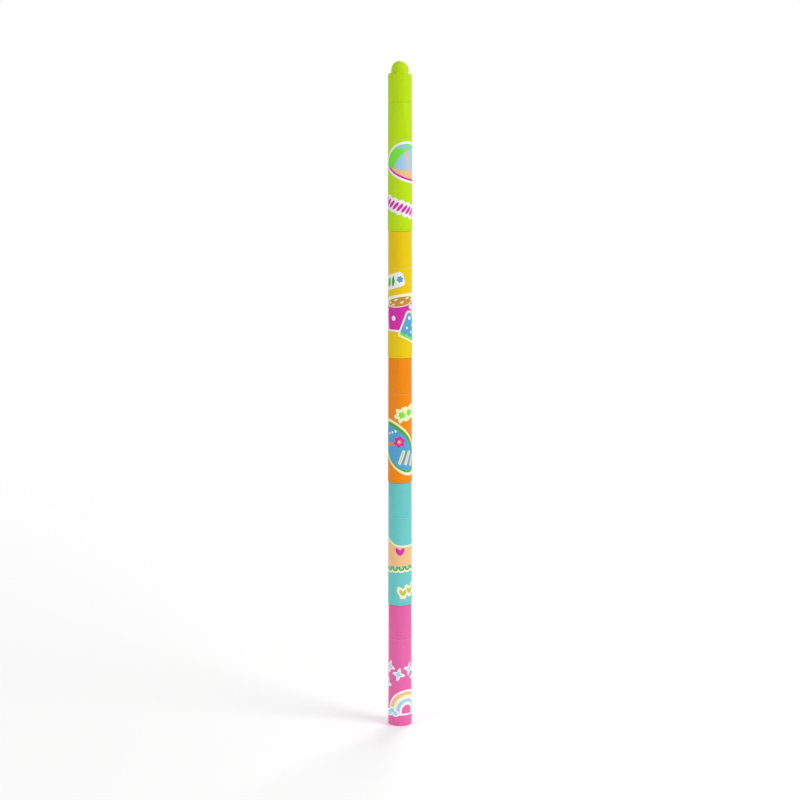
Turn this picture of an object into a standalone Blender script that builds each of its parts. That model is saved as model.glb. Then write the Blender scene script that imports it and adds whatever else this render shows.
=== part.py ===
"""Stackable pop-up highlighter: five plug-together colour units and a cap, standing on +Z.

Every unit is the same set of mouldings in its own colour. The nib holder of each unit plugs
into the hollow lower end of the unit above it, and the topmost one plugs into the cap. Each
unit's frame is an empty on the common axis, at the plane of the unit's lower rim.
"""

import math

import bmesh
import bpy

# Overall sizes, in metres.
RIM_DIAMETER = 0.0100  # outside of a barrel, just above its lower rim
DRAFT = 0.0004  # how much narrower the barrel is at its upper end
UNIT_LENGTH = 0.0520  # from one unit's lower rim to the next one's

# Walls.
BARREL_WALL = 0.0011  # at the socket
CHAMBER_WALL_STEP = 0.0006  # how far the ink chamber stands in from the socket
HOLDER_WALL = 0.00065
INNER_CAP_WALL = 0.0008
INNER_CAP_END = 0.0010
NOSE_WALL = 0.0008
CAP_TOP_WALL = 0.0011
KNOB_WALL = 0.0011

# Lengths along the axis.
NECK_LENGTH = 0.0070
NOSE_SHOULDER = 0.0006
NOSE_LENGTH = 0.0026
NIB_REACH = 0.0040  # how far the nib stands out of the nose
NIB_SEAT = 0.0040  # how far the nib sits in the reservoir
ROOT_LENGTH = 0.0074  # how far the nib holder sits in the barrel
NOSE_SEAL = 0.0023  # how far the nose goes into the seal
LABEL_START = 0.0010  # lower edge of the label, above the rim
LABEL_LENGTH = 0.0365

# Fits and gaps.
SLIP = 0.0001  # between a neck and its socket, all round
SEAT_GAP = 0.0003  # between faces that rest on each other
NIB_SLIP = 0.00008
RESERVOIR_ROOM = 0.00015
NIB_ROOM = 0.0004  # round the nib inside the knob
TIP_ROOM = 0.0012  # ahead of the nib's tip

# Small features.
LIP_RADIUS = 0.0005
EDGE = 0.00012
MOUTH_CHAMFER = 0.00015
LABEL_FILM = 0.00010
LABEL_SLIP = 0.00003
BEAD_HEIGHT = 0.00006
BEAD_WIDTH = 0.0008
BEAD_HEIGHT_ON_NECK = 0.0034  # the snap bead's middle, above the collar
GROOVE_DEPTH = 0.00015
SHOULDER_RADIUS = 0.0006  # round edge of the cap's shoulder
KNOB_FILLET = 0.00035
VENTS = 3  # air channels along the nib
VENT_RADIUS = 0.00035
NIB_SLANT = math.radians(36)
NIB_EDGE = 0.0014  # the chisel's thickness at its writing edge
NIB_TOP_FLAT = 0.0003

SIDES = 28
FINE_SIDES = 16
VENT_SIDES = 8
ARC_STEPS = 4

# Radii that follow from the outside in.
RIM_RADIUS = RIM_DIAMETER / 2
SOCKET_RADIUS = RIM_RADIUS - BARREL_WALL
CHAMBER_RADIUS = SOCKET_RADIUS - CHAMBER_WALL_STEP
NECK_RADIUS = SOCKET_RADIUS - SLIP
POCKET_RADIUS = NECK_RADIUS - HOLDER_WALL
RESERVOIR_RADIUS = POCKET_RADIUS - RESERVOIR_ROOM
SEAL_RADIUS = NECK_RADIUS - INNER_CAP_WALL
NOSE_RADIUS = SEAL_RADIUS - SLIP
NIB_BORE = NOSE_RADIUS - NOSE_WALL
NIB_RADIUS = NIB_BORE - NIB_SLIP
KNOB_BORE = NIB_RADIUS + NIB_ROOM
KNOB_RADIUS = KNOB_BORE + KNOB_WALL

# Heights above a unit's rim. What stands above the collar is measured from the next unit's rim.
COLLAR_TOP = UNIT_LENGTH - SEAT_GAP
ROOT_FLOOR = COLLAR_TOP - ROOT_LENGTH
NECK_TOP = NECK_LENGTH - SEAT_GAP
NOSE_START = NECK_TOP + NOSE_SHOULDER
NOSE_TOP = NOSE_START + NOSE_LENGTH
NIB_TIP = NOSE_TOP + NIB_REACH
SEAL_START = NOSE_TOP - NOSE_SEAL
CUP_FLOOR = NIB_TIP + TIP_ROOM + SLIP
CUP_TOP = CUP_FLOOR + INNER_CAP_END
SOCKET_DEPTH = CUP_TOP + SEAT_GAP
CAP_CEILING = NOSE_TOP + SEAT_GAP
CAP_SHOULDER = CAP_CEILING + CAP_TOP_WALL
KNOB_CEILING = NIB_TIP + TIP_ROOM
KNOB_TOP = KNOB_CEILING + KNOB_WALL

UNITS = (
    # name, plastic, felt
    ("pink", (0.80, 0.17, 0.42), (0.95, 0.15, 0.45)),
    ("turquoise", (0.22, 0.63, 0.63), (0.15, 0.75, 0.80)),
    ("orange", (0.96, 0.24, 0.02), (1.00, 0.30, 0.03)),
    ("yellow", (0.84, 0.59, 0.01), (0.95, 0.85, 0.05)),
    ("lime", (0.49, 0.76, 0.01), (0.60, 0.95, 0.05)),
)


def barrel_radius(height):
    """The outside radius of a barrel at a height above its rim."""
    return RIM_RADIUS - DRAFT / 2 * height / UNIT_LENGTH


def arc(centre, radius, start, end, steps=ARC_STEPS):
    """Points on a round stretch of a profile, with angles in degrees."""
    angles = [math.radians(start + (end - start) * i / steps) for i in range(steps + 1)]
    return [(centre[0] + radius * math.cos(a), centre[1] + radius * math.sin(a)) for a in angles]


def bump(radius, height, middle, direction):
    """A low trapezoid on a profile: a bead where radius grows, a groove where a bore widens."""
    half = BEAD_WIDTH / 2
    rows = [(radius, -half), (radius + height, -half / 2), (radius + height, half / 2), (radius, half)]
    return [(r, middle + z) for r, z in rows[::direction]]


def material(name, colour, roughness):
    made = bpy.data.materials.new(name)
    made.use_nodes = True
    shader = made.node_tree.nodes["Principled BSDF"]
    shader.inputs["Base Color"].default_value = (*colour, 1)
    shader.inputs["Roughness"].default_value = roughness
    made.diffuse_color = (*colour, 1)
    return made


def place(name, mesh, finish, frame, collection):
    """One piece of the object, standing in its unit's frame."""
    piece = bpy.data.objects.new(name, mesh)
    mesh.materials.append(finish)
    collection.objects.link(piece)
    piece.parent = frame
    return piece


def turned(name, profile, finish, frame, collection, sides=SIDES):
    """A turned piece. The profile runs down the outside and comes back up the inside."""
    mesh = bpy.data.meshes.new(name)
    count = len(profile)
    edges = [(i, i + 1) for i in range(count - 1)]
    if profile[0][0] > 0:
        edges.append((count - 1, 0))
    mesh.from_pydata([(r, 0, z) for r, z in profile], edges, [])
    piece = place(name, mesh, finish, frame, collection)
    spin = piece.modifiers.new("Turn", "SCREW")
    spin.axis = "Z"
    spin.angle = math.tau
    spin.steps = sides
    spin.render_steps = sides
    spin.use_merge_vertices = True
    spin.merge_threshold = 0.00001
    spin.use_smooth_shade = True
    return piece


def barrel_profile():
    label_end = LABEL_START + LABEL_LENGTH
    recess = LABEL_FILM + LABEL_SLIP
    top_radius = barrel_radius(COLLAR_TOP)
    outside = [
        (top_radius - EDGE, COLLAR_TOP),
        (top_radius, COLLAR_TOP - EDGE),
        (barrel_radius(label_end), label_end),
        (barrel_radius(label_end) - recess, label_end),
        (barrel_radius(LABEL_START) - recess, LABEL_START),
        (barrel_radius(LABEL_START), LABEL_START),
    ]
    lip = arc((barrel_radius(LIP_RADIUS) - LIP_RADIUS, LIP_RADIUS), LIP_RADIUS, 0, -90)
    mouth = [(SOCKET_RADIUS + MOUTH_CHAMFER, 0), (SOCKET_RADIUS, MOUTH_CHAMFER)]
    groove = bump(SOCKET_RADIUS, GROOVE_DEPTH, BEAD_HEIGHT_ON_NECK - SEAT_GAP, 1)
    bore = [
        (SOCKET_RADIUS, SOCKET_DEPTH),
        (CHAMBER_RADIUS, SOCKET_DEPTH),
        (CHAMBER_RADIUS, ROOT_FLOOR),
        (SOCKET_RADIUS, ROOT_FLOOR),
        (SOCKET_RADIUS, COLLAR_TOP),
    ]
    return outside + lip + mouth + groove + bore


def label_profile():
    low = LABEL_START + LABEL_SLIP
    high = LABEL_START + LABEL_LENGTH - LABEL_SLIP
    return [
        (barrel_radius(high), high),
        (barrel_radius(low), low),
        (barrel_radius(low) - LABEL_FILM, low),
        (barrel_radius(high) - LABEL_FILM, high),
    ]


def holder_profile():
    """The nib holder, from the tip of its nose down to its root in the barrel and back up."""
    lift = UNIT_LENGTH
    floor = ROOT_FLOOR + SEAT_GAP
    pocket_end = lift + NECK_TOP - HOLDER_WALL
    nose_edge = min(NOSE_WALL, NOSE_LENGTH) / 2
    outside = [
        (NOSE_RADIUS - nose_edge, lift + NOSE_TOP),
        (NOSE_RADIUS, lift + NOSE_TOP - nose_edge),
        (NOSE_RADIUS, lift + NOSE_START),
        (NECK_RADIUS, lift + NECK_TOP),
        *bump(NECK_RADIUS, BEAD_HEIGHT, COLLAR_TOP + BEAD_HEIGHT_ON_NECK, -1),
        *bump(NECK_RADIUS, BEAD_HEIGHT, ROOT_FLOOR + ROOT_LENGTH / 2, -1),
        (NECK_RADIUS, floor + EDGE),
        (NECK_RADIUS - EDGE, floor),
    ]
    inside = [
        (POCKET_RADIUS, floor),
        (POCKET_RADIUS, pocket_end),
        (NIB_BORE, pocket_end + NOSE_SHOULDER),
        (NIB_BORE, lift + NOSE_TOP),
    ]
    return outside + inside


def reservoir_profile():
    top = UNIT_LENGTH + NECK_TOP - HOLDER_WALL - SEAT_GAP
    low = SOCKET_DEPTH + SEAT_GAP
    bore = NIB_RADIUS + NIB_SLIP
    seat = top - NIB_SEAT - NIB_SLIP
    return [
        (0, seat),
        (bore, seat),
        (bore, top),
        (RESERVOIR_RADIUS - EDGE, top),
        (RESERVOIR_RADIUS, top - EDGE),
        (RESERVOIR_RADIUS, low + EDGE),
        (RESERVOIR_RADIUS - EDGE, low),
        (0, low),
    ]


def inner_cap_profile():
    """A cup, mouth down, whose skirt seals on the nose below it and whose end closes the ink chamber."""
    outer = SOCKET_RADIUS - SLIP
    return [
        (0, CUP_TOP),
        (outer - EDGE, CUP_TOP),
        (outer, CUP_TOP - EDGE),
        (outer, SEAL_START + EDGE),
        (outer - EDGE, SEAL_START),
        (SEAL_RADIUS + MOUTH_CHAMFER, SEAL_START),
        (SEAL_RADIUS, SEAL_START + MOUTH_CHAMFER),
        (SEAL_RADIUS, CUP_FLOOR),
        (0, CUP_FLOOR),
    ]


def liner_profile():
    outer = SOCKET_RADIUS - SLIP
    top = CAP_CEILING - SLIP
    return [
        (outer, top),
        (outer, SEAL_START + EDGE),
        (outer - EDGE, SEAL_START),
        (SEAL_RADIUS + MOUTH_CHAMFER, SEAL_START),
        (SEAL_RADIUS, SEAL_START + MOUTH_CHAMFER),
        (SEAL_RADIUS, top),
    ]


def cap_profile():
    """The cap: a domed knob on a shoulder, a straight skirt, and a bore that narrows into the knob."""
    outer = barrel_radius(COLLAR_TOP)
    dome_base = KNOB_TOP - KNOB_RADIUS
    dome = [(0, KNOB_TOP), *arc((0, dome_base), KNOB_RADIUS, 90, 0, 2 * ARC_STEPS)[1:]]
    fillet = arc((KNOB_RADIUS + KNOB_FILLET, CAP_SHOULDER + KNOB_FILLET), KNOB_FILLET, 180, 270, 2)
    shoulder = arc((outer - SHOULDER_RADIUS, CAP_SHOULDER - SHOULDER_RADIUS), SHOULDER_RADIUS, 90, 0, 3)
    rim = [(outer, EDGE), (outer - EDGE, 0), (SOCKET_RADIUS + MOUTH_CHAMFER, 0)]
    mouth = [(SOCKET_RADIUS, MOUTH_CHAMFER)]
    groove = bump(SOCKET_RADIUS, GROOVE_DEPTH, BEAD_HEIGHT_ON_NECK - SEAT_GAP, 1)
    corner = KNOB_BORE / 2
    hollow = [
        (SOCKET_RADIUS, CAP_CEILING),
        (KNOB_BORE, CAP_CEILING),
        *arc((KNOB_BORE - corner, KNOB_CEILING - corner), corner, 0, 90, 3),
        (0, KNOB_CEILING),
    ]
    return dome + fillet + shoulder + rim + mouth + groove + hollow


def cut_vents(holder, frame, cutters):
    """Air channels between the nib and the nose, from the nose's tip into the ink rod's pocket."""
    low = UNIT_LENGTH + NECK_TOP - HOLDER_WALL
    high = UNIT_LENGTH + NOSE_TOP + EDGE
    shape = bmesh.new()
    for i in range(VENTS):
        turn = math.tau * (i / VENTS + 1 / (4 * SIDES))
        sizes = {"radius1": VENT_RADIUS, "radius2": VENT_RADIUS, "depth": high - low}
        made = bmesh.ops.create_cone(shape, cap_ends=True, segments=VENT_SIDES, **sizes)
        middle = (NIB_BORE * math.cos(turn), NIB_BORE * math.sin(turn), (low + high) / 2)
        bmesh.ops.translate(shape, verts=made["verts"], vec=middle)
    mesh = bpy.data.meshes.new(f"{holder.name}_vents")
    shape.to_mesh(mesh)
    shape.free()
    cutter = bpy.data.objects.new(mesh.name, mesh)
    cutters.objects.link(cutter)
    cutter.parent = frame
    cutter.hide_render = True
    cutter.display_type = "WIRE"
    cut = holder.modifiers.new("Vents", "BOOLEAN")
    cut.operation = "DIFFERENCE"
    cut.solver = "EXACT"
    cut.object = cutter


def nib_mesh(name):
    """A felt rod whose upper end is thinned on two sides and cut to a slanted chisel edge."""
    low = UNIT_LENGTH + NECK_TOP - HOLDER_WALL - SEAT_GAP - NIB_SEAT
    tip = UNIT_LENGTH + NIB_TIP
    nose = UNIT_LENGTH + NOSE_TOP
    shape = bmesh.new()
    sizes = {"radius1": NIB_RADIUS, "radius2": NIB_RADIUS, "depth": tip - low}
    made = bmesh.ops.create_cone(shape, cap_ends=True, segments=FINE_SIDES, **sizes)
    bmesh.ops.translate(shape, verts=made["verts"], vec=(0, 0, (low + tip) / 2))
    lean = math.atan2(NIB_RADIUS - NIB_EDGE / 2, NIB_REACH)
    cuts = [((NIB_TOP_FLAT - NIB_RADIUS, 0, tip), (math.sin(NIB_SLANT), 0, math.cos(NIB_SLANT)))]
    for side in (-1, 1):
        cuts.append(((0, side * NIB_RADIUS, nose), (0, side * math.cos(lean), math.sin(lean))))
    for spot, normal in cuts:
        every = shape.verts[:] + shape.edges[:] + shape.faces[:]
        cut = bmesh.ops.bisect_plane(shape, geom=every, plane_co=spot, plane_no=normal, clear_outer=True)
        rim = [e for e in cut["geom_cut"] if isinstance(e, bmesh.types.BMEdge)]
        bmesh.ops.contextual_create(shape, geom=rim)
    bmesh.ops.recalc_face_normals(shape, faces=shape.faces[:])
    mesh = bpy.data.meshes.new(name)
    shape.to_mesh(mesh)
    shape.free()
    return mesh


def build_unit(name, plastic_colour, felt_colour, frame, collection, cutters):
    """The six pieces of one colour unit."""
    plastic = material(f"{name}_plastic", plastic_colour, 0.35)
    film = material(f"{name}_label_film", plastic_colour, 0.28)
    felt = material(f"{name}_felt", felt_colour, 0.9)
    soft = material(f"{name}_soft_plastic", (0.85, 0.86, 0.84), 0.5)
    turned(f"{name}_barrel", barrel_profile(), plastic, frame, collection)
    turned(f"{name}_label_sleeve", label_profile(), film, frame, collection)
    holder = turned(f"{name}_nib_holder", holder_profile(), plastic, frame, collection)
    cut_vents(holder, frame, cutters)
    turned(f"{name}_reservoir", reservoir_profile(), felt, frame, collection, FINE_SIDES)
    turned(f"{name}_inner_cap", inner_cap_profile(), soft, frame, collection)
    place(f"{name}_nib", nib_mesh(f"{name}_nib"), felt, frame, collection)


def build():
    for leftover in list(bpy.data.objects):
        bpy.data.objects.remove(leftover)
    collection = bpy.data.collections.new("stackable_highlighter")
    bpy.context.scene.collection.children.link(collection)
    cutters = bpy.data.collections.new("cutters")
    bpy.context.scene.collection.children.link(cutters)
    below = None
    for name, plastic_colour, felt_colour in UNITS:
        frame = bpy.data.objects.new(f"{name}_unit_frame", None)
        collection.objects.link(frame)
        frame.parent = below
        frame.location.z = UNIT_LENGTH if below else 0
        build_unit(name, plastic_colour, felt_colour, frame, collection, cutters)
        below = frame
    cap_frame = bpy.data.objects.new("cap_frame", None)
    collection.objects.link(cap_frame)
    cap_frame.parent = below
    cap_frame.location.z = UNIT_LENGTH
    turned("cap", cap_profile(), bpy.data.materials["lime_plastic"], cap_frame, collection)
    soft = bpy.data.materials["lime_soft_plastic"]
    turned("cap_liner", liner_profile(), soft, cap_frame, collection)


build()
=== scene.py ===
# %% [markdown]
# # A stackable highlighter, from its fixed frame to its finish
#
# The object is one slim wand made of five highlighters in five colours. The nib of each one is
# capped by the hollow lower end of the next, and a cap with a round knob closes the top one. To
# change colour, the used unit is pulled off the top and plugged in at the bottom.
#
# The sizes and the places of all the parts are settled already, in a plain working model. This
# lesson loads that model as a frame and gives it its looks: smooth turned mouldings, printed
# labels, felt nibs, and the light that they are seen in.

# %% Load the frame
import math

import bmesh
import bpy
from mathutils import Matrix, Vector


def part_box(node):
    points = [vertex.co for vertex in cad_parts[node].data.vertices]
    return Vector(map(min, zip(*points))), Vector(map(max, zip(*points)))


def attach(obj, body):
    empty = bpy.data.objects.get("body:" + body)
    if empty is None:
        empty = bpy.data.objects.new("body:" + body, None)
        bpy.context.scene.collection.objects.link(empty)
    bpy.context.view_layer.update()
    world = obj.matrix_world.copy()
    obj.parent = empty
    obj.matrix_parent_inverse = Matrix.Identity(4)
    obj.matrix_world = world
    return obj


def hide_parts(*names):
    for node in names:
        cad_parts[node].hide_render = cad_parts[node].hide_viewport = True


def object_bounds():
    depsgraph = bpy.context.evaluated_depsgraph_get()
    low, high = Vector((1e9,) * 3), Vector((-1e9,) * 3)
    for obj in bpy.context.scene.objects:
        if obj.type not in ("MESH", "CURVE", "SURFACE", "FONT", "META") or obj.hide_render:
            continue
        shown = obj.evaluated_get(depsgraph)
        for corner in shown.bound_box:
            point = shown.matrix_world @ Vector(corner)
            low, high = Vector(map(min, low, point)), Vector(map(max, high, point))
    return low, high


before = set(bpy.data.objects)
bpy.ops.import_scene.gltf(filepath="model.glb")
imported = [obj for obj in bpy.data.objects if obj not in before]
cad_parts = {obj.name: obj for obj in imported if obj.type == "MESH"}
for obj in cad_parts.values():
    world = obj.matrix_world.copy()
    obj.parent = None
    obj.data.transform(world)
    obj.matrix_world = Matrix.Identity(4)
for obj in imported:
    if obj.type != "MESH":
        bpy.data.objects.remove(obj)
frame_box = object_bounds()

# %% [markdown]
# ## One set of measures for five units
#
# The five units come out of the same moulds and differ only in colour and print. So every size is
# read once, from the lowest unit, as heights above its lower rim. Work in millimetres is easier to
# read than work in metres, so shapes are made in millimetres and shrunk at the very end.

# %% Heights and radii
MM = 0.001
UNITS = ("pink", "turquoise", "orange", "yellow", "lime")
rims = {unit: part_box(f"{unit}_barrel")[0].z / MM for unit in UNITS}
rims["cap"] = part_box("cap")[0].z / MM


def measure(node, unit):
    """The lowest and the highest point of a part above its unit's rim, and its radius."""
    low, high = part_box(node)
    return low.z / MM - rims[unit], high.z / MM - rims[unit], high.x / MM


_, collar_top, rim_radius = measure("pink_barrel", "pink")
label_low, label_high, label_radius = measure("pink_label_sleeve", "pink")
root_floor, nose_top, bead_radius = measure("pink_nib_holder", "pink")
nib_low, nib_tip, nib_radius = measure("pink_nib", "pink")
rod_low, rod_high, rod_radius = measure("pink_reservoir", "pink")
cup_low, cup_top, cup_radius = measure("pink_inner_cap", "pink")
_, knob_top, cap_radius = measure("cap", "cap")
liner_low, liner_high, liner_radius = measure("cap_liner", "cap")
unit_length = rims["turquoise"] - rims["pink"]
print(f"a unit is {unit_length:.1f} mm long and {2 * rim_radius:.1f} mm thick at its rim")

# %% [markdown]
# ## Turning an outline into a moulding
#
# Barrels, caps and cups are round mouldings. Each could be built from cylinders with cuts, but an
# outline that is spun about the axis gives every step and bore in one go, as a lathe does. A row
# of the outline is a radius, a height, and how much that corner is rounded: real plastic has no
# sharp corners, and the small rounds are what catches the light. Rounding the outline's corners
# before the spin is cheaper than bevelling the finished shape, and gives cleaner faces.

# %% The lathe
SIDES = 120
ROUND_STEPS = 4
ROUND_STEPS_PER_MM = 7
JOIN = 1e-5


def turn_outline(outline, sides=SIDES):
    """Rounds an outline of (radius, height, rounding) rows and spins it. It closes itself off the axis."""
    shape = bmesh.new()
    corners = [shape.verts.new((radius, 0, height)) for radius, height, _ in outline]
    for start, end in zip(corners, corners[1:]):
        shape.edges.new((start, end))
    if outline[0][0] > 0:
        shape.edges.new((corners[-1], corners[0]))
    for rounding in sorted({row[2] for row in outline if row[2]}):
        chosen = [corner for corner, row in zip(corners, outline) if row[2] == rounding]
        steps = max(ROUND_STEPS, round(ROUND_STEPS_PER_MM * rounding))
        bmesh.ops.bevel(shape, geom=chosen, offset=rounding, offset_type="OFFSET", affect="VERTICES",
                        segments=steps, profile=0.5, material=-1)
    bmesh.ops.spin(shape, geom=shape.verts[:] + shape.edges[:], cent=(0, 0, 0), axis=(0, 0, 1),
                   angle=math.tau, steps=sides, use_merge=True)
    bmesh.ops.remove_doubles(shape, verts=shape.verts[:], dist=JOIN)
    bmesh.ops.recalc_face_normals(shape, faces=shape.faces[:])
    return shape


# %% [markdown]
# ## From a shape to a piece
#
# A finished piece keeps its place in its mesh and stands at the origin, unturned and unscaled, so
# that it moves with its body and its pattern stays put. Smooth shading hides the facets, while
# edges sharper than about 35 degrees stay crisp.

# %% Finish a piece
SHARP = math.radians(35)
pieces = {}


def finish_piece(name, shape, lift, body, nodes):
    """Lifts a shape to its unit, shrinks it to metres, ties it to its body, and hides the frame parts it
    replaces.
    """
    bmesh.ops.translate(shape, verts=shape.verts[:], vec=(0, 0, lift))
    bmesh.ops.scale(shape, verts=shape.verts[:], vec=(MM, MM, MM))
    mesh = bpy.data.meshes.new(name)
    shape.to_mesh(mesh)
    shape.free()
    mesh.shade_smooth()
    mesh.set_sharp_from_angle(angle=SHARP)
    piece = bpy.data.objects.new(name, mesh)
    bpy.context.scene.collection.objects.link(piece)
    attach(piece, body)
    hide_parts(*nodes)
    pieces[name] = piece
    return piece


# %% [markdown]
# ## The barrel
#
# The barrel is one thin moulding. Its lower end is a socket that takes the neck of the unit below,
# with a groove for that neck's snap bead. The middle is the ink chamber, with a thicker wall. The
# top is a plain collar. Outside, the barrel narrows a little towards the top so that it leaves its
# mould, and a shallow recess keeps the label's edges from being rubbed. The lower rim is well
# rounded, and it stands a little proud of the collar below it: that is the joint one sees.

# %% The barrel's outline
WALL = 1.1
CHAMBER_STEP = 0.6
DRAFT = 0.2
RECESS = 0.13
LIP_ROUND = 0.5
FINE_ROUND = 0.12
SEAM_ROUND = 0.06
HAIR_ROUND = 0.03
MOUTH_ROUND = 0.15
JOINT_GAP = 0.04
RING_GAP = 0.1
SOCKET_CLEAR = 0.3
BEAD_HEIGHT = 3.1
BEAD_HALF = 0.4
GROOVE = 0.15
socket_radius = rim_radius - WALL
chamber_radius = socket_radius - CHAMBER_STEP
shoulder_height = root_floor - SOCKET_CLEAR


def barrel_radius(height):
    """How wide the barrel is outside, at a height above its rim."""
    return rim_radius - DRAFT * height / unit_length


def swelling(radius, peak, middle, upward=True):
    """A low rib on a neck or a shallow groove in a bore, whose crest has the radius peak."""
    rows = [(radius, -BEAD_HALF), (peak, -BEAD_HALF / 2), (peak, BEAD_HALF / 2), (radius, BEAD_HALF)]
    return [(r, middle + z, FINE_ROUND) for r, z in rows[:: 1 if upward else -1]]


def barrel_outline():
    """Down the outside with its label recess, and up again through the socket and the chamber."""
    low, high = label_low - HAIR_ROUND, label_high + RING_GAP - HAIR_ROUND
    top = unit_length - JOINT_GAP
    return [
        (barrel_radius(top), top, SEAM_ROUND),
        (barrel_radius(high), high, HAIR_ROUND),
        (barrel_radius(high) - RECESS, high, 0),
        (barrel_radius(low) - RECESS, low, 0),
        (barrel_radius(low), low, HAIR_ROUND),
        (barrel_radius(0), 0, LIP_ROUND),
        (socket_radius, 0, MOUTH_ROUND),
        *swelling(socket_radius, socket_radius + GROOVE, BEAD_HEIGHT),
        (socket_radius, cup_top + SOCKET_CLEAR, 0),
        (chamber_radius, cup_top + SOCKET_CLEAR, FINE_ROUND),
        (chamber_radius, shoulder_height, FINE_ROUND),
        (socket_radius, shoulder_height, 0),
        (socket_radius, top, FINE_ROUND),
    ]


for unit in UNITS:
    finish_piece(f"{unit}_barrel_moulding", turn_outline(barrel_outline()), rims[unit],
                 f"{unit}_unit", [f"{unit}_barrel"])
print("barrels:", sum(len(p.data.polygons) for p in pieces.values()), "faces")

# %% [markdown]
# ## The label
#
# The print isn't on the barrel itself but on a thin film wrapped round it, and the film's upper
# edge is the faint ring that shows on each unit. The film is spun from its section like the
# barrel, but it isn't closed: it starts and ends at the back, with a slit as fine as a hair
# between its two edges, as a wrapped label has.
#
# For the print, the film gets a flat map in millimetres: across is the distance round the barrel
# from the middle of the front, up is the height above the rim. No face of the film crosses the
# slit, so the map needs no seam of its own: it runs from one edge of the film to the other.

# %% The film and its flat map
FILM = 0.1
SLIT = 0.08
FLAT_MAP = "flat_label"


def film_shape():
    """The film's section, spun from just past the back almost all the way round."""
    shape = bmesh.new()
    section = ((label_high, FILM), (label_high, 0), (label_low, 0), (label_low, FILM))
    corners = [shape.verts.new((0, barrel_radius(height) - depth, height)) for height, depth in section]
    shape.faces.new(corners)
    half_slit = SLIT / 2 / label_radius
    turn = Matrix.Rotation(half_slit, 3, "Z")
    bmesh.ops.rotate(shape, verts=corners, cent=(0, 0, 0), matrix=turn)
    bmesh.ops.spin(shape, geom=shape.verts[:] + shape.edges[:] + shape.faces[:], cent=(0, 0, 0),
                   axis=(0, 0, 1), angle=math.tau - 2 * half_slit, steps=SIDES, use_merge=False)
    bmesh.ops.recalc_face_normals(shape, faces=shape.faces[:])
    return shape


def lay_flat(shape):
    """Writes each corner's place on the flat label, in millimetres."""
    flat = shape.loops.layers.uv.new(FLAT_MAP)
    for face in shape.faces:
        for loop in face.loops:
            spot = loop.vert.co
            loop[flat].uv = (label_radius * math.atan2(spot.x, -spot.y), spot.z)


for unit in UNITS:
    film = film_shape()
    lay_flat(film)
    loose = sum(len(edge.link_faces) != 2 for edge in film.edges)
    finish_piece(f"{unit}_printed_label", film, rims[unit], f"{unit}_unit", [f"{unit}_label_sleeve"])
print("labels: 5, open edges on the last one:", loose)

# %% [markdown]
# ## The nib holder
#
# The nib holder is pressed into the collar. Its neck is what the next unit is plugged onto, so it
# has a low snap bead, and its narrower nose is what the soft inner cap seals on. Three fine
# channels run up the nose's bore beside the nib and let air into the ink chamber. They could be
# cut with round cutters, but the bore's own points can simply be moved out onto the channels'
# round walls, which keeps the faces in neat columns.

# %% The nib holder's outline
SLIP = 0.1
HOLDER_WALL = 0.65
SEAL_WALL = 0.8
NOSE_WALL = 0.8
NOSE_ROUND = 0.45
NOSE_LENGTH = 2.6
NOSE_SHOULDER = 0.6
SHOULDER_EDGE = 0.2
VENTS = 3
VENT_RADIUS = 0.35
neck_radius = socket_radius - SLIP
pocket_radius = neck_radius - HOLDER_WALL
seal_radius = neck_radius - SEAL_WALL
nose_radius = seal_radius - SLIP
nib_bore = nose_radius - NOSE_WALL
neck_top = nose_top - NOSE_LENGTH - NOSE_SHOULDER
root_middle = (shoulder_height + collar_top) / 2
neck_bead = unit_length + BEAD_HEIGHT


def holder_outline():
    """Down the outside from the nose to the root, and up again through the bores."""
    return [
        (nose_radius, nose_top, NOSE_ROUND),
        (nose_radius, neck_top + NOSE_SHOULDER, FINE_ROUND),
        (neck_radius, neck_top, SHOULDER_EDGE),
        *swelling(neck_radius, bead_radius, neck_bead, False),
        *swelling(neck_radius, bead_radius, root_middle, False),
        (neck_radius, root_floor, FINE_ROUND),
        (pocket_radius, root_floor, FINE_ROUND),
        (pocket_radius, neck_top - HOLDER_WALL, 0),
        (nib_bore, neck_top, 0),
        (nib_bore, nose_top, FINE_ROUND),
    ]


def open_vents(shape):
    """Moves the bore's points out onto the round walls of the air channels."""
    half_width = math.asin(VENT_RADIUS / nib_bore)
    for point in shape.verts:
        radius = math.hypot(point.co.x, point.co.y)
        if radius > nib_bore + FINE_ROUND or point.co.z < neck_top - JOIN:
            continue
        angle = math.atan2(point.co.y, point.co.x) % (math.tau / VENTS)
        off = min(angle, math.tau / VENTS - angle)
        if off < half_width:
            wall = math.sqrt(VENT_RADIUS**2 - (nib_bore * math.sin(off)) ** 2)
            grow = max(nib_bore * math.cos(off) + wall, radius) / radius
            point.co.x *= grow
            point.co.y *= grow


for unit in UNITS:
    holder = turn_outline(holder_outline())
    open_vents(holder)
    finish_piece(f"{unit}_holder_moulding", holder, rims[unit], f"{unit}_unit", [f"{unit}_nib_holder"])
print(f"nib holders: neck {2 * neck_radius:.1f} mm, nose {2 * nose_radius:.1f} mm thick")

# %% [markdown]
# ## The chisel nib
#
# The nib is a rod of pressed fibre. Its end is ground thinner on two sides and cut off at a slant,
# so it draws a broad line or a fine one. Three flat cuts through a round rod do just that: each
# cut opens the rod, the hole is closed with a flat face, and the cut edges are rounded, because
# felt is never sharp.

# %% The nib
NIB_SIDES = 64
NIB_EDGE = 1.4
NIB_SLANT = math.radians(36)
NIB_TOP_FLAT = 0.3
FELT_ROUND = 0.14
FELT_STEPS = 3
CUT_ANGLE = math.radians(12)


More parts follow.
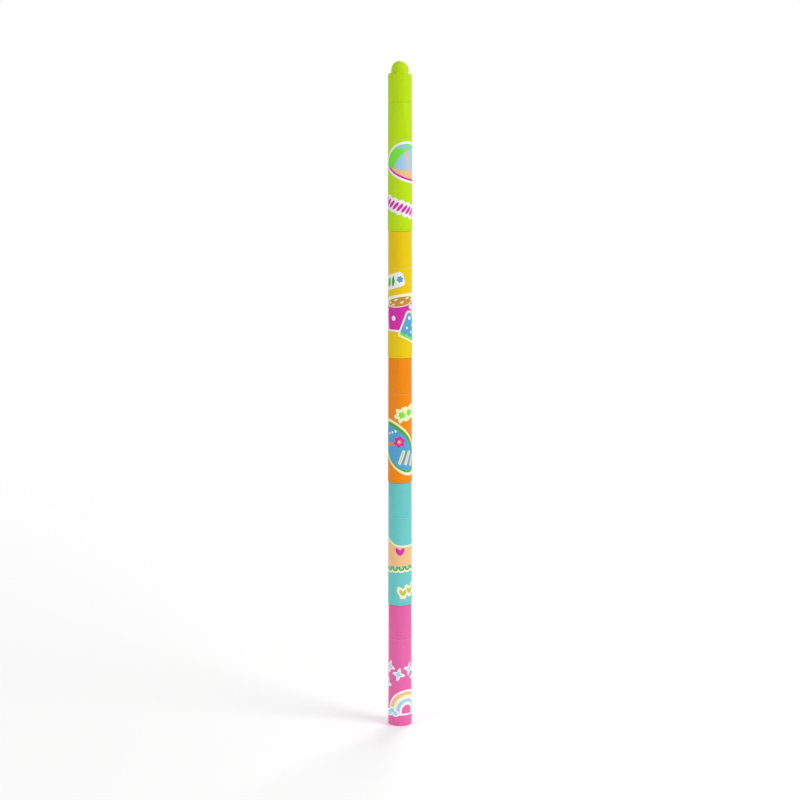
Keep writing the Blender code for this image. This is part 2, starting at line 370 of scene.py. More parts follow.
def nib_shape():
    """A round rod with three flat cuts and softened edges."""
    shape = bmesh.new()
    rod = bmesh.ops.create_cone(shape, cap_ends=True, segments=NIB_SIDES, radius1=nib_radius,
                                radius2=nib_radius, depth=nib_tip - nib_low)
    bmesh.ops.translate(shape, verts=rod["verts"], vec=(0, 0, (nib_low + nib_tip) / 2))
    lean = math.atan2(nib_radius - NIB_EDGE / 2, nib_tip - nose_top)
    cuts = [((NIB_TOP_FLAT - nib_radius, 0, nib_tip), (math.sin(NIB_SLANT), 0, math.cos(NIB_SLANT)))]
    for side in (-1, 1):
        cuts.append(((0, side * nib_radius, nose_top), (0, side * math.cos(lean), math.sin(lean))))
    for spot, outward in cuts:
        every = shape.verts[:] + shape.edges[:] + shape.faces[:]
        cut = bmesh.ops.bisect_plane(shape, geom=every, plane_co=spot, plane_no=outward, clear_outer=True)
        rim = [part for part in cut["geom_cut"] if isinstance(part, bmesh.types.BMEdge)]
        bmesh.ops.contextual_create(shape, geom=rim)
    bmesh.ops.recalc_face_normals(shape, faces=shape.faces[:])
    corners = [e for e in shape.edges if e.calc_face_angle(0) > CUT_ANGLE]
    bmesh.ops.bevel(shape, geom=corners, offset=FELT_ROUND, offset_type="OFFSET", affect="EDGES",
                    segments=FELT_STEPS, profile=0.5, material=-1, clamp_overlap=True)
    return shape


for unit in UNITS:
    finish_piece(f"{unit}_felt_nib", nib_shape(), rims[unit], f"{unit}_unit", [f"{unit}_nib"])
print(f"nibs: {nib_tip - nose_top:.1f} mm of felt stand out of the nose")

# %% [markdown]
# ## Inside the barrel: ink rod and inner cap
#
# The ink is held in a rod of loose fibre with a seat for the nib in its upper end. Below it, a soft
# cup closes the ink chamber. The same cup, mouth down, is the cap of the unit underneath: its
# skirt seals on that unit's nose. Neither shows from outside, except up the open lower end of the
# wand, where the cup's floor has the small pip that its moulding gate leaves.

# %% The ink rod and the inner cap
NIB_SLIP = 0.08
NIB_SEAT = 4.08
ROD_EDGE = 0.15
CUP_FLOOR = 1.0
CUP_EDGE = 0.2
LIP_LEAD = 0.25
CUP_CORNER = 0.3
GATE_RADIUS = 0.6
GATE_HEIGHT = 0.15
GATE_EDGE = 0.05
cup_floor = cup_top - CUP_FLOOR


def rod_outline():
    """A solid rod with the nib's seat sunk into its upper end."""
    bore, seat = nib_radius + NIB_SLIP, rod_high - NIB_SEAT
    return [
        (0, seat, 0),
        (bore, seat, 0),
        (bore, rod_high, FINE_ROUND),
        (rod_radius, rod_high, ROD_EDGE),
        (rod_radius, rod_low, ROD_EDGE),
        (0, rod_low, 0),
    ]


def cup_outline():
    """A cup that stands mouth down, with its gate pip inside on the floor."""
    gate = cup_floor - GATE_HEIGHT
    return [
        (0, cup_top, 0),
        (cup_radius, cup_top, CUP_EDGE),
        (cup_radius, cup_low, CUP_EDGE),
        (seal_radius, cup_low, LIP_LEAD),
        (seal_radius, cup_floor, CUP_CORNER),
        (GATE_RADIUS, cup_floor, GATE_EDGE),
        (GATE_RADIUS, gate, GATE_EDGE),
        (0, gate, 0),
    ]


for unit in UNITS:
    finish_piece(f"{unit}_ink_rod", turn_outline(rod_outline()), rims[unit], f"{unit}_unit",
                 [f"{unit}_reservoir"])
    finish_piece(f"{unit}_inner_cup", turn_outline(cup_outline()), rims[unit], f"{unit}_unit",
                 [f"{unit}_inner_cap"])
print("pieces so far:", len(pieces))

# %% [markdown]
# ## The cap
#
# The cap is a short plain tube of the collar's width, so its joint with the top unit hardly shows.
# Its shoulder is softly rounded and carries a round knob, hollow inside so that the nib's tip has
# room. A soft ring under the shoulder seals on the nose.

# %% The cap and its sealing ring
KNOB_WALL = 1.1
SHOULDER_WALL = 1.1
SHOULDER_ROUND = 0.8
NIB_ROOM = 0.4
KNOB_FILLET = 0.35
KNOB_CORNER = 0.8
knob_bore = nib_radius + NIB_ROOM
knob_radius = knob_bore + KNOB_WALL
knob_ceiling = knob_top - KNOB_WALL
cap_ceiling = liner_high + SLIP
cap_shoulder = cap_ceiling + SHOULDER_WALL
dome_round = knob_radius - HAIR_ROUND


def cap_outline():
    """Down the outside from the knob, and up again through the bore and the hollow knob."""
    return [
        (0, knob_top, 0),
        (knob_radius, knob_top, dome_round),
        (knob_radius, cap_shoulder, KNOB_FILLET),
        (cap_radius, cap_shoulder, SHOULDER_ROUND),
        (cap_radius, 0, SEAM_ROUND),
        (socket_radius, 0, MOUTH_ROUND),
        *swelling(socket_radius, socket_radius + GROOVE, BEAD_HEIGHT),
        (socket_radius, cap_ceiling, 0),
        (knob_bore, cap_ceiling, FINE_ROUND),
        (knob_bore, knob_ceiling, KNOB_CORNER),
        (0, knob_ceiling, 0),
    ]


def ring_outline():
    """The sealing ring's section, with a lead for the nose at its lower inner edge."""
    return [
        (liner_radius, liner_high, FINE_ROUND),
        (liner_radius, liner_low, CUP_EDGE),
        (seal_radius, liner_low, LIP_LEAD),
        (seal_radius, liner_high, FINE_ROUND),
    ]


finish_piece("cap_moulding", turn_outline(cap_outline()), rims["cap"], "cap", ["cap"])
finish_piece("cap_sealing_ring", turn_outline(ring_outline()), rims["cap"], "cap", ["cap_liner"])
print(f"knob: {2 * knob_radius:.1f} mm wide, {knob_top - cap_shoulder:.1f} mm high")

# %% [markdown]
# ## Materials: a few small helpers
#
# Each finish is a small network of nodes. A helper that adds one node and feeds its inputs keeps
# the networks readable. Colours are easiest to choose as on a paint chart, from 0 to 255, but
# shaders mix light, so each is turned into its linear value first.

# %% Node helpers and colours
def colour(red, green, blue):
    """A colour of the paint chart as the linear value that a shader wants."""
    linear = []
    for channel in (red, green, blue):
        share = channel / 255
        linear.append(share / 12.92 if share <= 0.04045 else ((share + 0.055) / 1.055) ** 2.4)
    return (*linear, 1)


def add_node(tree, kind, inputs, **settings):
    """Adds a node, sets its settings, and links or sets the inputs named or numbered in a dictionary."""
    node = tree.nodes.new(f"ShaderNode{kind}")
    for setting, value in settings.items():
        setattr(node, setting, value)
    for key, value in inputs.items():
        if isinstance(value, bpy.types.NodeSocket):
            tree.links.new(value, node.inputs[key])
        else:
            node.inputs[key].default_value = value
    return node


def calc(tree, operation, *values):
    return add_node(tree, "Math", dict(enumerate(values)), operation=operation).outputs[0]


def calc_vector(tree, operation, *values):
    node = add_node(tree, "VectorMath", dict(enumerate(values)), operation=operation)
    return node.outputs["Value" if operation in ("LENGTH", "DISTANCE", "DOT_PRODUCT") else "Vector"]


def ramp(tree, value, low, high, at_low, at_high):
    """A value that runs from at_low to at_high while another runs from low to high."""
    return add_node(tree, "MapRange", dict(enumerate((value, low, high, at_low, at_high)))).outputs[0]


def mix(tree, share, under, over):
    """One colour over another, with the share of the upper one."""
    node = add_node(tree, "Mix", {0: share, 6: under, 7: over}, data_type="RGBA")
    return node.outputs[2]


def noise(tree, place, stretch, scale, detail=3.0):
    """Soft random patches on the object's own coordinates, drawn out where stretch is below one."""
    spread = add_node(tree, "Mapping", {"Vector": place, "Scale": stretch}).outputs[0]
    return add_node(tree, "TexNoise", {"Vector": spread, "Scale": scale, "Detail": detail}).outputs["Fac"]


def start_finish(name, roughness, specular=0.5):
    """A new material, its node tree, and its shader with the two plain values set."""
    finish = bpy.data.materials.new(name)
    finish.use_nodes = True
    shader = finish.node_tree.nodes["Principled BSDF"]
    shader.inputs["Roughness"].default_value = roughness
    shader.inputs["Specular IOR Level"].default_value = specular
    return finish, finish.node_tree, shader


def shade(tint, factor):
    """A darker or brighter tint."""
    return (*(min(1, channel * factor) for channel in tint[:3]), 1)


# %% [markdown]
# ## Coloured plastic
#
# The mouldings are opaque plastic, bright all the way through, with a satin skin. What tells it
# from paint is small: the pigment is a little uneven and drawn out along the flow, light sinks in
# a bit before it comes back, the skin has a fine orange peel, and handling has rubbed it shinier
# in places. Subsurface scattering gives the depth, and noise on the object's own coordinates gives
# the rest. A second noise for every effect costs little and keeps them from lining up.

# %% Plastic finish
PLASTIC = {
    "pink": colour(236, 104, 172),
    "turquoise": colour(112, 208, 208),
    "orange": colour(255, 145, 3),
    "yellow": colour(247, 211, 2),
    "lime": colour(198, 236, 3),
}
SATIN = 0.38
SATIN_SHINE = 0.2
POLISH, SCUFF = 0.05, 0.09
PEEL_DEPTH = 0.00006
LIGHT_DEPTH = 0.0012
EVEN = (1, 1, 1)


def blend(tree, grain, one, other):
    """Two tints in patches, where a noise is low and where it is high."""
    return mix(tree, ramp(tree, grain, 0.3, 0.7, 0, 1), one, other)


def roughen(tree, shader, grain, shiny, dull):
    """Makes a shader shinier where a noise is low and duller where it is high."""
    tree.links.new(ramp(tree, grain, 0.35, 0.7, shiny, dull), shader.inputs["Roughness"])


def emboss(tree, shader, grain, strength, depth):
    """Bumps a surface by a noise, to a depth in metres."""
    bump = add_node(tree, "Bump", {"Height": grain, "Strength": strength, "Distance": depth})
    tree.links.new(bump.outputs[0], shader.inputs["Normal"])


def plastic(name, tint):
    """Satin plastic of one colour."""
    finish, tree, shader = start_finish(name, SATIN, SATIN_SHINE)
    place = add_node(tree, "TexCoord", {}).outputs["Object"]
    flow = noise(tree, place, (1, 1, 0.15), 420)
    tree.links.new(blend(tree, flow, shade(tint, 0.95), shade(tint, 1.03)), shader.inputs["Base Color"])
    rubbing = noise(tree, place, (1, 1, 0.6), 1500, 5)
    roughen(tree, shader, rubbing, SATIN - POLISH, SATIN + SCUFF)
    peel = noise(tree, place, EVEN, 1100, 2)
    emboss(tree, shader, peel, 0.12, PEEL_DEPTH)
    shader.inputs["Subsurface Weight"].default_value = 0.12
    shader.inputs["Subsurface Scale"].default_value = LIGHT_DEPTH
    return finish


plastics = {unit: plastic(f"{unit}_satin_plastic", PLASTIC[unit]) for unit in UNITS}
print("plastics:", ", ".join(plastics))

# %% [markdown]
# ## Printing on the film
#
# The print is inks laid one over another, and each ink goes down through a shape. In the nodes, a
# shape is a distance: below zero inside, above zero outside, in millimetres on the flat label.
# That makes round, straight and joined shapes from a few sums, and an outline is the same shape
# grown by a fraction of a millimetre. The edges stay sharp however near one looks, which an image
# wouldn't do.

# %% Shapes on the flat label
INK_EDGE = 0.03


class Press:
    """Lays inks on one label. Shapes are distances in millimetres, places are on the flat label."""

    def __init__(self, tree, paper):
        self.tree = tree
        self.inked = paper
        self.flat = add_node(tree, "UVMap", {}, uv_map=FLAT_MAP).outputs[0]

    def frame(self, across, up, turn=0, width=2, height=2, spot=None):
        """Coordinates that start at a place, are turned by so many degrees, and count half widths."""
        place = {"Location": (across, up, 0), "Rotation": (0, 0, math.radians(turn)),
                 "Scale": (width / 2, height / 2, 1), "Vector": spot or self.flat}
        return add_node(self.tree, "Mapping", place, vector_type="TEXTURE").outputs[0]

    def oval(self, across, up, width, height=None, turn=0, spot=None):
        """An ellipse, or a circle where no height is given."""
        height = height or width
        local = self.frame(across, up, turn, width, height, spot)
        beyond = calc(self.tree, "SUBTRACT", calc_vector(self.tree, "LENGTH", local), 1)
        return calc(self.tree, "MULTIPLY", beyond, min(width, height) / 2)

    def block(self, across, up, width, height, turn=0, rounding=0.3, spot=None):
        """A rectangle with rounded corners."""
        local = calc_vector(self.tree, "ABSOLUTE", self.frame(across, up, turn, spot=spot))
        core = (width / 2 - rounding, height / 2 - rounding, 0)
        outside = calc_vector(self.tree, "SUBTRACT", local, core)
        beyond = calc_vector(self.tree, "MAXIMUM", outside, (0, 0, 0))
        return calc(self.tree, "SUBTRACT", calc_vector(self.tree, "LENGTH", beyond), rounding)

    def side(self, across, up, facing):
        """Everything behind a straight line through a place. It faces so many degrees from the right."""
        away = (math.cos(math.radians(facing)), math.sin(math.radians(facing)), 0)
        reach = calc_vector(self.tree, "DOT_PRODUCT", self.flat, away)
        return calc(self.tree, "SUBTRACT", reach, across * away[0] + up * away[1])

    def joined(self, *shapes, softly=0.0):
        """All the shapes as one, with inner corners filled softly."""
        both = shapes[0]
        for shape in shapes[1:]:
            both = calc(self.tree, "SMOOTH_MIN", both, shape, softly)
        return both

    def common(self, *shapes, softly=0.0):
        """Only what lies in every shape, with corners rounded softly."""
        both = shapes[0]
        for shape in shapes[1:]:
            both = calc(self.tree, "SMOOTH_MAX", both, shape, softly)
        return both

    def petals(self, across, up, length, width, turn=0):
        """Three crossed ovals, which read as a flower with six petals."""
        crossed = [self.oval(across, up, length, width, turn + cross) for cross in (0, 60, 120)]
        return self.joined(*crossed)

    def heart(self, across, up, size):
        """Two ovals that lean towards each other."""
        lean, aside = 34, size * 0.21
        left = self.oval(across - aside, up, size / 2, size, lean)
        right = self.oval(across + aside, up, size / 2, size, -lean)
        return self.joined(left, right, softly=size * 0.05)

    def row(self, across, up, pitch, turn=0):
        """Coordinates that start again every pitch along a line."""
        local = add_node(self.tree, "SeparateXYZ", {0: self.frame(across, up, turn)})
        again = calc(self.tree, "WRAP", local.outputs[0], pitch / 2, -pitch / 2)
        return add_node(self.tree, "CombineXYZ", {0: again, 1: local.outputs[1]}).outputs[0]

    def ink(self, shape, tint, grown=0.0, edge=INK_EDGE):
        """Prints a shape in one tint, grown by so many millimetres, with a sharp or a soft edge."""
        cover = ramp(self.tree, shape, grown - edge, grown + edge, 1, 0)
        self.inked = mix(self.tree, cover, self.inked, tint)


# %% [markdown]
# ## The inks
#
# The pictures are cheerful stickers, and all of them are plain shapes with no lettering. They share
# one small box of inks, as labels off one printing machine do, and every sticker has a white or a
# cream outline. Each is printed from the back to the front: outline, filling, details. A place on
# the label is two numbers, across and up, in millimetres.

# %% Inks
WHITE = colour(252, 252, 252)
CREAM = colour(252, 250, 205)
PEACH = colour(252, 200, 145)
MAGENTA = colour(222, 45, 178)
SKY = colour(168, 214, 252)
BLUE = colour(88, 172, 218)
LEAF = colour(84, 178, 42)
BRIGHT_GREEN = colour(128, 240, 62)
OLIVE = colour(198, 202, 96)
TAN = colour(205, 150, 62)
TANGERINE = colour(250, 140, 60)
BORDER = 0.75
print("edges are", 2 * INK_EDGE, "mm soft, and most outlines are", BORDER, "mm wide")


# %% [markdown]
# ## The lime picture
#
# A striped dome with a curved brim stands over a ribbon. The dome is an oval cut off by a straight
# side, and the brim is the edge of a much larger circle below the same side, so the two always
# meet. The ribbon's scalloped edges and its rope of petals are each one shape on repeated
# coordinates, which is lighter than dozens of shapes.

# %% Lime: a dome over a ribbon
def dome_and_ribbon(press):
    above, below = press.side(-6.9, 26.4, -101.5), press.side(-6.9, 26.4, 78.5)
    dome = press.common(press.oval(2.2, 24.2, 18.4, 22.4, -12), above)
    brim = press.common(press.common(press.oval(9.3, 41.9, 44), below), press.side(13.2, 20, 20), softly=1.5)
    press.ink(press.joined(dome, brim), WHITE, 0.85)
    press.ink(dome, BRIGHT_GREEN)
    press.ink(press.common(dome, press.oval(5.6, 23.4, 16.6, 19.4, -12)), SKY, edge=0.5)
    press.ink(press.common(dome, press.oval(1.2, 34.2, 6.5, 1.6, -4)), shade(SKY, 0.9), edge=0.45)
    press.ink(press.common(dome, press.block(3.4, 27.8, 0.9, 7.4, 3, 0.4)), PEACH, 0.1, 0.25)
    press.ink(press.common(dome, press.oval(3.1, 31.0, 1.8, 2.6, 3)), PEACH, edge=0.3)
    press.ink(brim, MAGENTA)
    press.ink(press.common(brim, press.oval(9.3, 41.9, 42.4)), PEACH)
    middle_up, slope, length = 9.8, -19, 23.2
    ribbon = press.block(0, middle_up, length, 4.6, slope, 1.2)
    bumps = press.row(0, middle_up, 2.9, slope)
    edges = [press.oval(0, up, 2.9, 2.2, spot=bumps) for up in (2.0, -2.0)]
    ends = press.block(0, middle_up, length, 9, slope, 1.2)
    press.ink(press.common(press.joined(ribbon, *edges), ends), WHITE)
    rope = press.oval(0, 0, 1.35, 4.0, -24, press.row(0, middle_up, 1.93, slope))
    press.ink(press.common(rope, press.block(0, middle_up, length - 2, 4.6, slope, 1.2)), MAGENTA)


# %% [markdown]
# ## The yellow picture
#
# A spotted cup with a sprinkled drink has a party hat in front of it, under a tile with leaves.
# The cup and the hat have straight sides that meet in soft corners, so each is what four sides
# have in common, with the corners rounded as the sides are combined.

# %% Yellow: a spotted cup and a party hat
SPRINKLES = ((-4.6, 22.9), (-1.8, 24.2), (0.8, 23.2), (3.2, 24.9), (5.6, 24.3), (-3.0, 22.2))
HAT_SPOTS = ((4.5, 16.6, 1.6), (6.6, 13.4, 1.1), (3.0, 12.6, 1.0), (5.6, 10.6, 1.2))


def cup_and_hat(press):
    press.ink(press.block(-4.6, 31.3, 12.6, 5.4, 17, 1.2), WHITE, 0.25)
    leaves = press.oval(0, 0, 1.5, 4.2, -24, press.row(-3.0, 31.8, 2.3, 17))
    press.ink(press.common(leaves, press.block(-6.0, 30.9, 8.0, 4.2, 17, 0.3)), LEAF)
    press.ink(press.petals(0.0, 32.6, 2.9, 1.2, 17), BLUE)
    left, right = press.side(-7.0, 23.6, 187), press.side(7.6, 25.6, -18)
    cup = press.common(left, right, press.side(0, 11.9, -90), press.side(0, 23.2, 100), softly=0.8)
    drink = press.oval(0.2, 23.5, 14.6, 4.4, 9)
    press.ink(press.joined(cup, drink), WHITE, BORDER)
    press.ink(cup, MAGENTA)
    press.ink(drink, CREAM)
    press.ink(drink, TAN, -0.35)
    for across, up in SPRINKLES:
        press.ink(press.oval(across, up, 1.7, 0.7, 18), CREAM)
    for across, up in ((-2.8, 16.6), (-6.9, 20.0), (5.0, 21.2)):
        press.ink(press.common(cup, press.oval(across, up, 1.8, 2.0)), WHITE)
    left, right = press.side(3.0, 18.2, 158), press.side(5.8, 18.2, 30)
    hat = press.common(left, right, press.side(-0.3, 10.0, -115), press.side(4.4, 18.9, 80), softly=1.8)
    press.ink(hat, CREAM, 0.7)
    press.ink(hat, BLUE)
    waves = press.oval(0, 0, 3.0, 3.2, spot=press.row(-0.3, 9.7, 2.7, -25))
    press.ink(press.common(hat, waves), BRIGHT_GREEN)
    for across, up, size in HAT_SPOTS:
        press.ink(press.common(hat, press.oval(across, up, size)), WHITE)


# %% [markdown]
# ## The orange picture
#
# A large slanted leaf with a flower and three veins lies under a line of daisies. The daisies are
# joined into one shape before they are printed, so that their outlines run into each other and no
# outline covers a neighbour's petals.

# %% Orange: a leaf and a flower
DAISIES = ((0.8, 28.6), (4.3, 29.5), (7.8, 30.4), (11.3, 31.3))
VEINS = ((0.7, 10.9, 6.2), (3.3, 10.6, 6.2), (5.7, 9.6, 5.2))


def leaf_and_flower(press):
    daisies = press.joined(*[press.petals(across, up, 3.2, 1.3, 15) for across, up in DAISIES])
    press.ink(daisies, CREAM, BORDER)
    press.ink(daisies, BRIGHT_GREEN)
    slope = -55
    leaf = press.oval(-0.7, 15.0, 24.2, 12.6, slope)
    press.ink(leaf, CREAM, 0.8)
    press.ink(leaf, LEAF)
    press.ink(press.common(leaf, press.oval(-1.2, 14.6, 24.2, 12.4, slope)), BLUE, -0.5)
    press.ink(press.block(-4.4, 16.3, 6.6, 1.2, 8, 0.5), TANGERINE)
    for across, up in ((-5.0, 20.7), (-3.4, 21.3), (-1.9, 21.8)):
        press.ink(press.oval(across, up, 1.0), WHITE)
    press.ink(press.petals(-0.3, 17.4, 5.2, 2.2, 20), MAGENTA)
    press.ink(press.oval(-0.3, 17.4, 1.9), TANGERINE)
    press.ink(press.oval(-0.3, 17.4, 0.7), CREAM)
    for across, up, length in VEINS:
        vein = press.block(across, up, 1.3, length, -20, 0.6)
        press.ink(vein, CREAM)
        press.ink(vein, PEACH, -0.35)


# %% [markdown]
# ## The turquoise picture
#
# A peach awning sweeps up on the left and ends below in a scalloped fringe, with hearts on it and
# under it. The awning's upper edge is two straight sides with a soft joint, which gives the sweep
# without a curve of its own. Cloth and fringe end at a panel that is a whole number of scallops
# wide, so no scallop is cut through.

# %% Turquoise: a scalloped awning
SCALLOP = 2.75
SCALLOPS = 9
HEARTS = ((1.3, 5.6), (4.6, 6.4), (7.9, 7.2), (11.2, 8.0))


def awning(press):
    top = press.joined(press.side(0, 25.0, 90), press.side(-2.4, 25.4, 57), softly=1.8)
    panel = press.block(0.4, 20, SCALLOPS * SCALLOP, 30, 3)
    cloth = press.common(top, press.side(0, 29.8, 90), panel)
    fringe = press.row(0.6, 16.4, SCALLOP, 3)
    scallops = press.common(press.oval(0, 0, SCALLOP, 2.9, spot=fringe), panel)
    whole = press.joined(press.common(cloth, press.side(0, 16.4, -87)), scallops)
    press.ink(whole, CREAM, BORDER)
    press.ink(whole, PEACH)
    press.ink(press.common(scallops, press.side(0.6, 16.9, 93)), LEAF)
    press.ink(press.common(scallops, press.oval(0, -0.1, 1.2, 1.3, spot=fringe)), SKY)
    press.ink(press.heart(0, 23.1, 3.6), MAGENTA)
    hearts = press.joined(*[press.heart(across, up, 2.9) for across, up in HEARTS])
    press.ink(hearts, CREAM, BORDER)
    press.ink(hearts, OLIVE)


# %% [markdown]
# ## The pink picture
#
# A rainbow stands on a line, with a cloud at each foot and sparks above it. Its bands are ovals of
# shrinking size printed over each other, which is how a printer would do it too: no band has to
# fit its neighbour.

# %% Pink: a rainbow
SPARKS = ((-5.0, 25.4), (-0.6, 22.4), (4.4, 24.6), (7.6, 20.4), (-6.8, 18.0), (10.8, 24.0), (-10.6, 22.6))


def rainbow(press):
    across, up = 3.2, 6.4
    ground = press.side(0, 5.4, -90)
    press.ink(press.common(press.oval(across, up, 15.6, 17), ground), WHITE, 0.7)
    for size, tint in ((15.6, PEACH), (12.6, CREAM), (9.6, SKY), (6.6, WHITE)):
        press.ink(press.common(press.oval(across, up, size, size + 1.4), ground), tint)
    press.ink(press.common(press.oval(across, up, 5.0, 5.6), ground), PLASTIC["pink"])
    for out, start in ((1, 8.4), (-1, -2.0)):
        low, high = press.oval(start, 5.4, 3.4, 2.8), press.oval(start + 1.6 * out, 6.6, 3.4, 3.2)
        cloud = press.joined(low, high, press.oval(start + 3.4 * out, 5.6, 4.0, 3.2), softly=0.3)
        press.ink(cloud, WHITE)
        press.ink(cloud, SKY, -0.6, 0.25)
    for across, up in SPARKS:
        upright, level = press.oval(across, up, 0.9, 3.0, -12), press.oval(across, up, 3.0, 0.9, -12)
        spark = press.joined(upright, level, softly=0.5)
        press.ink(spark, WHITE, 0.4)
        press.ink(spark, SKY)


# %% [markdown]
# ## The film's own finish
#
# The film is smoother than the plastic under it, so its shine is sharper, with faint smears from
# handling. A thin pale band, a hair wide, is painted along the film's upper edge: it is a painted
# highlight, the light that the edge catches, and it is the ring one sees. The colour under the
# pictures is the unit's own, with the slight cloudiness of a printed solid. The pictures could be
# images, but inks laid down by nodes need no file and stay sharp.

# %% Label finish
# Width and paleness of the painted highlight along the film's upper edge.
HIGHLIGHT_BAND_WIDTH = 0.3
HIGHLIGHT_PALENESS = 0.1
FILM_GLOSS, FILM_SMEAR = 0.26, 0.38
FILM_SHINE = 0.25
RIPPLE_DEPTH = 0.00005
PICTURES = {"pink": rainbow, "turquoise": awning, "orange": leaf_and_flower, "yellow": cup_and_hat,
            "lime": dome_and_ribbon}


def label_finish(unit, tint):
    """Printed film: the unit's own colour, its picture, and a painted highlight along its upper edge."""
    finish, tree, shader = start_finish(f"{unit}_label_print", FILM_GLOSS, FILM_SHINE)
    place = add_node(tree, "TexCoord", {}).outputs["Object"]
    cloud = noise(tree, place, EVEN, 700)
    press = Press(tree, blend(tree, cloud, shade(tint, 0.97), shade(tint, 1.02)))
    PICTURES[unit](press)
    # Painted highlight: a pale band along the film's upper edge stands in for the light that the edge
    # catches.
    painted_highlight_band = calc(tree, "MULTIPLY", press.side(0, label_high - HIGHLIGHT_BAND_WIDTH, 90), -1)
    press.ink(painted_highlight_band, mix(tree, HIGHLIGHT_PALENESS, tint, WHITE))
    tree.links.new(press.inked, shader.inputs["Base Color"])
    smears = noise(tree, place, (1, 1, 0.4), 900, 4)
    roughen(tree, shader, smears, FILM_GLOSS, FILM_SMEAR)
    ripple = noise(tree, place, (1, 1, 0.3), 500, 1)
    emboss(tree, shader, ripple, 0.1, RIPPLE_DEPTH)
    print(f"{unit} label: {len(tree.nodes)} nodes")
    return finish


label_prints = {unit: label_finish(unit, PLASTIC[unit]) for unit in UNITS}

# %% [markdown]
# ## Felt, ink rod and soft plastic
#
# The nib and the ink rod are fibres that run along the axis, so their noise is drawn out a long
# way in that direction, in the colour and in the bump. Wet with highlighter ink, they are the
# brightest thing on the unit. The sealing cups are milky soft plastic that lets some light in.

# %% Felt and soft finishes
FELT = {
    "pink": colour(255, 82, 172),
    "turquoise": colour(60, 218, 228),
    "orange": colour(255, 128, 20),
    "yellow": colour(250, 238, 30),
    "lime": colour(176, 250, 30),
}
MILK = colour(232, 236, 232)
DULL = 0.92
FELT_SHINE = 0.2
MILK_GLOSS, MILK_DULL = 0.4, 0.52
MILK_DEPTH = 0.002
NIB_FIBRES, NIB_FUZZ = 6500, 0.00005
ROD_FIBRES, ROD_FUZZ = 3500, 0.0001


def felt(name, tint, fibre_scale, depth):
    """Fibres along the axis, soaked with ink in patches, with painted shade in the gaps between them."""
    finish, tree, shader = start_finish(name, DULL, FELT_SHINE)
    place = add_node(tree, "TexCoord", {}).outputs["Object"]
    fibres = noise(tree, place, (1, 1, 0.06), fibre_scale, 4)
    soaked = noise(tree, place, (1, 1, 0.5), 500)
    wet = blend(tree, soaked, shade(tint, 0.86), tint)
    # Painted shade: where the fibre noise is low, in the hollows of the same bump, the felt is darkened.
    painted_gap_shade = ramp(tree, fibres, 0.3, 0.65, 0.3, 0)
    tree.links.new(mix(tree, painted_gap_shade, wet, shade(tint, 0.55)), shader.inputs["Base Color"])
    emboss(tree, shader, fibres, 0.6, depth)
    shader.inputs["Sheen Weight"].default_value = 0.25
    return finish


def milky(name, tint):
    """Soft plastic that lets some light in."""
    finish, tree, shader = start_finish(name, MILK_GLOSS)
    place = add_node(tree, "TexCoord", {}).outputs["Object"]
    haze = noise(tree, place, (1, 1, 0.4), 500)
    tree.links.new(blend(tree, haze, shade(tint, 0.94), tint), shader.inputs["Base Color"])
    tree.links.new(ramp(tree, haze, 0.3, 0.7, MILK_GLOSS, MILK_DULL), shader.inputs["Roughness"])
    shader.inputs["Subsurface Weight"].default_value = 0.35
    shader.inputs["Subsurface Scale"].default_value = MILK_DEPTH
    return finish


nib_felts = {unit: felt(f"{unit}_nib_felt", FELT[unit], NIB_FIBRES, NIB_FUZZ) for unit in UNITS}
rod_fibres = {unit: felt(f"{unit}_rod_fibre", shade(FELT[unit], 0.9), ROD_FIBRES, ROD_FUZZ)
              for unit in UNITS}
soft_plastic = milky("milky_soft_plastic", MILK)
print(len(nib_felts) + len(rod_fibres), "fibre finishes and one soft plastic")

# %% [markdown]
# ## Dressing the pieces
#
# Each piece's name starts with its unit and ends in what it is, so one table says which finish it
# gets. The cap is moulded from the lime plastic of the unit under it.

# %% Give each piece its finish
FINISHES = {"barrel_moulding": plastics, "holder_moulding": plastics, "printed_label": label_prints,
            "felt_nib": nib_felts, "ink_rod": rod_fibres}
for name, piece in pieces.items():
    unit, _, kind = name.partition("_")
    finish = FINISHES[kind][unit] if kind in FINISHES else soft_plastic
    piece.data.materials.append(plastics["lime"] if name == "cap_moulding" else finish)
print(len(pieces), "pieces dressed")

# %% [markdown]
# ## A pale floor and soft light
#
# The wand stands on a white floor, under one broad light from the right, a weaker one from the
# left and one from behind, so it is a little brighter on its right side. A studio would bend a
# sheet of white paper up behind it. Here the floor glows faintly and fades out around the wand,
# so only its soft shadow is left. The sky that lights the wand is dimmer than the white that the
# camera sees behind it, as in a light tent.

# %% The stage
FLOOR_RADIUS = 0.6
FADE_START = 0.1
FLOOR_GLOW = 0.16
PAPER = colour(250, 250, 250)
PURE_WHITE = colour(255, 255, 255)
SKY_GLOW = 0.47
middle = (frame_box[0][2] + frame_box[1][2]) / 2


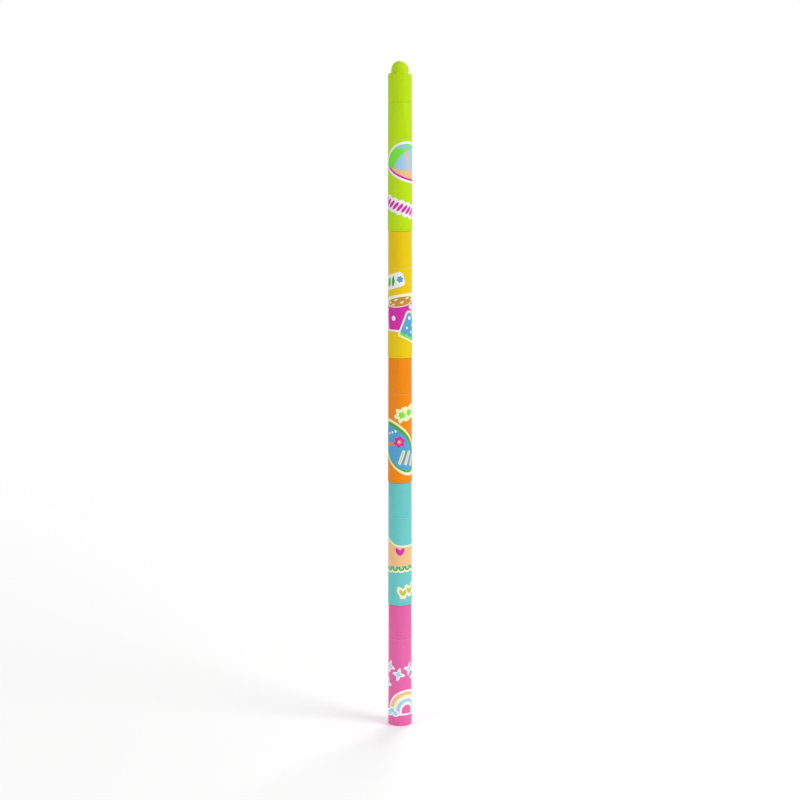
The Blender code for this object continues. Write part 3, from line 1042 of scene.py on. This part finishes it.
def add_floor():
    """A round white sheet that melts into the background."""
    shape = bmesh.new()
    bmesh.ops.create_circle(shape, cap_ends=True, segments=64, radius=FLOOR_RADIUS)
    mesh = bpy.data.meshes.new("studio_floor")
    shape.to_mesh(mesh)
    shape.free()
    floor = bpy.data.objects.new("studio_floor", mesh)
    bpy.context.scene.collection.objects.link(floor)
    finish, tree, shader = start_finish("studio_floor", 0.7, 0.1)
    shader.inputs["Base Color"].default_value = PAPER
    shader.inputs["Emission Color"].default_value = PURE_WHITE
    shader.inputs["Emission Strength"].default_value = FLOOR_GLOW
    place = add_node(tree, "TexCoord", {}).outputs["Object"]
    reach = calc_vector(tree, "LENGTH", place)
    tree.links.new(ramp(tree, reach, FADE_START, FLOOR_RADIUS, 1, 0), shader.inputs["Alpha"])
    mesh.materials.append(finish)


def add_light(name, place, width, watts):
    """A broad lamp that points at the middle of the wand."""
    lamp = bpy.data.lights.new(name, "AREA")
    lamp.shape = "DISK"
    lamp.size = width
    lamp.energy = watts
    light = bpy.data.objects.new(name, lamp)
    bpy.context.scene.collection.objects.link(light)
    light.location = place
    aim = light.location.copy()
    aim.z -= middle
    light.rotation_euler = aim.to_track_quat("Z", "Y").to_euler()


def light_sky(white, glow):
    """The camera sees white, but the wand is lit by a dimmer sky."""
    world = bpy.data.worlds.new("light_tent")
    world.use_nodes = True
    bpy.context.scene.world = world
    tree = world.node_tree
    background = tree.nodes["Background"]
    seen = add_node(tree, "LightPath", {}).outputs["Is Camera Ray"]
    tree.links.new(ramp(tree, seen, 0, 1, glow, white), background.inputs["Strength"])
    background.inputs["Color"].default_value = PURE_WHITE


add_floor()
add_light("key", (0.95, -0.5, 0.7), 0.7, 6.8)
add_light("fill", (-0.9, -0.7, 0.4), 0.9, 2.4)
add_light("back", (0.3, 0.9, 0.7), 0.6, 4.0)
light_sky(1.0, SKY_GLOW)
bpy.context.scene.view_settings.view_transform = "Standard"
print("one floor and three lamps, aimed at", round(middle, 3), "m up")

# %% [markdown]
# ## The camera
#
# A long lens from a little above keeps the wand's sides straight and shows the round of each rim.
# The picture is square, so the lens and the distance are tied by how many metres one side of it
# should hold at the wand.

# %% The camera
VIEW_HEIGHT = 0.329
LENS = 105.0
TILT = math.radians(10)
NEAREST = 0.01

camera = bpy.data.cameras.new("camera")
camera.lens = LENS
camera.clip_start = NEAREST
eye = bpy.data.objects.new("camera", camera)
bpy.context.scene.collection.objects.link(eye)
distance = VIEW_HEIGHT * LENS / camera.sensor_width
eye.location = (0, -distance * math.cos(TILT), middle + distance * math.sin(TILT))
eye.rotation_euler = (math.pi / 2 - TILT, 0, 0)
bpy.context.scene.camera = eye
print(f"camera {distance:.2f} m away")
